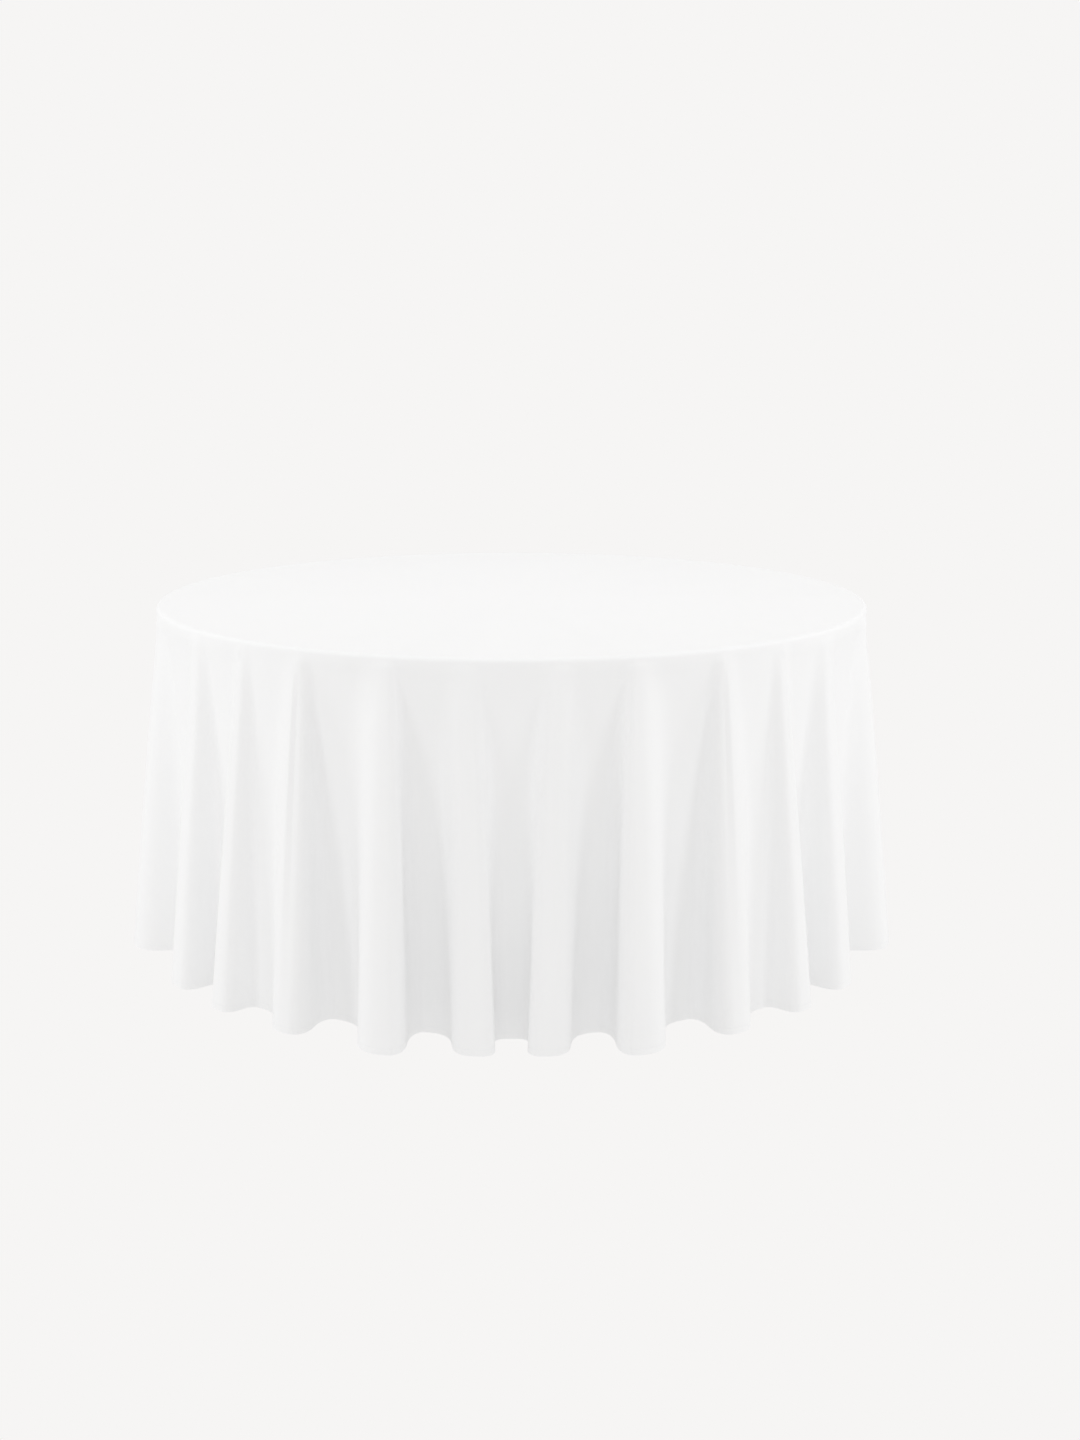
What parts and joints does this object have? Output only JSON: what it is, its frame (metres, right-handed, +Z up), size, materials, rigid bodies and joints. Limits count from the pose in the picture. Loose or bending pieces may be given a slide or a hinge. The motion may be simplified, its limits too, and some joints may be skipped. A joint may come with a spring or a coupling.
{
  "type": "table with tablecloth",
  "caption": "Round banquet table on folding tube legs, under a plain white floor-length tablecloth that hangs in soft, widening folds.",
  "frame": {"origin": "on the floor below the centre of the table top", "axes": "+Z up, -Y towards the front, X across the leg frames"},
  "size_m": [1.6854, 1.6756, 0.7441],
  "materials": {
    "cloth": "matte",
    "label": "satin",
    "plywood": "satin",
    "edge_vinyl": "satin",
    "batten_wood": "matte",
    "tube_paint": "satin",
    "zinc": "satin",
    "foot_rubber": "matte"
  },
  "bodies": {
    "table": {"tabletop": "plywood", "edge_band": "edge_vinyl", "batten_right": "batten_wood", "hinge_saddle_right_front": "zinc", "saddle_screw_right_front_inner": "zinc", "saddle_screw_right_front_outer": "zinc", "hinge_saddle_right_back": "zinc", "saddle_screw_right_back_inner": "zinc", "saddle_screw_right_back_outer": "zinc", "brace_bracket_right": "zinc", "bracket_screw_right_inner": "zinc", "bracket_screw_right_outer": "zinc", "bracket_pin_right": "zinc", "batten_left": "batten_wood", "hinge_saddle_left_front": "zinc", "saddle_screw_left_front_inner": "zinc", "saddle_screw_left_front_outer": "zinc", "hinge_saddle_left_back": "zinc", "saddle_screw_left_back_inner": "zinc", "saddle_screw_left_back_outer": "zinc", "brace_bracket_left": "zinc", "bracket_screw_left_inner": "zinc", "bracket_screw_left_outer": "zinc", "bracket_pin_left": "zinc"},
    "cloth": {"tablecloth": "cloth", "care_label": "label"},
    "leg_frame_right": {"pivot_tube_right": "tube_paint", "leg_right_front": "tube_paint", "leg_right_back": "tube_paint", "crossbar_right": "tube_paint", "crossbar_lug_right": "tube_paint", "foot_right_front": "foot_rubber", "foot_right_back": "foot_rubber", "lug_pin_right": "zinc"},
    "brace_upper_right": {"brace_upper_right": "zinc", "knee_rivet_right": "zinc"},
    "brace_lower_right": {"brace_lower_right": "zinc"},
    "leg_frame_left": {"pivot_tube_left": "tube_paint", "leg_left_front": "tube_paint", "leg_left_back": "tube_paint", "crossbar_left": "tube_paint", "crossbar_lug_left": "tube_paint", "foot_left_front": "foot_rubber", "foot_left_back": "foot_rubber", "lug_pin_left": "zinc"},
    "brace_upper_left": {"brace_upper_left": "zinc", "knee_rivet_left": "zinc"},
    "brace_lower_left": {"brace_lower_left": "zinc"}
  },
  "joints": [
    {"name": "leg_fold_right", "type": "hinge", "parent": "table", "child": "leg_frame_right", "pos_m": [0.5, 0, 0.6922], "axis": [0, 1, 0], "range_deg": [0, 90]},
    {"name": "brace_upper_turn_right", "type": "hinge", "parent": "table", "child": "brace_upper_right", "pos_m": [0.28, 0, 0.6922], "axis": [0, -1, 0], "range_deg": [0, 47.5]},
    {"name": "brace_lower_turn_right", "type": "hinge", "parent": "leg_frame_right", "child": "brace_lower_right", "pos_m": [0.5, 0, 0.4522], "axis": [0, 1, 0], "range_deg": [0, 42.52]},
    {"name": "leg_fold_left", "type": "hinge", "parent": "table", "child": "leg_frame_left", "pos_m": [-0.5, 0, 0.6922], "axis": [0, -1, 0], "range_deg": [0, 90]},
    {"name": "brace_upper_turn_left", "type": "hinge", "parent": "table", "child": "brace_upper_left", "pos_m": [-0.28, 0, 0.6922], "axis": [0, 1, 0], "range_deg": [0, 47.5]},
    {"name": "brace_lower_turn_left", "type": "hinge", "parent": "leg_frame_left", "child": "brace_lower_left", "pos_m": [-0.5, 0, 0.4522], "axis": [0, -1, 0], "range_deg": [0, 42.52]},
    {"name": "cloth_lift", "type": "slide", "parent": "table", "child": "cloth", "axis": [0, 0, 1], "range_m": [0, 0.8]}
  ],
  "couplings": [
    {"joint": "brace_upper_turn_right", "follows": "leg_fold_right", "ratio": 0.52766},
    {"joint": "brace_lower_turn_right", "follows": "leg_fold_right", "ratio": 0.47234},
    {"joint": "brace_upper_turn_left", "follows": "leg_fold_left", "ratio": 0.52766},
    {"joint": "brace_lower_turn_left", "follows": "leg_fold_left", "ratio": 0.47234}
  ]
}
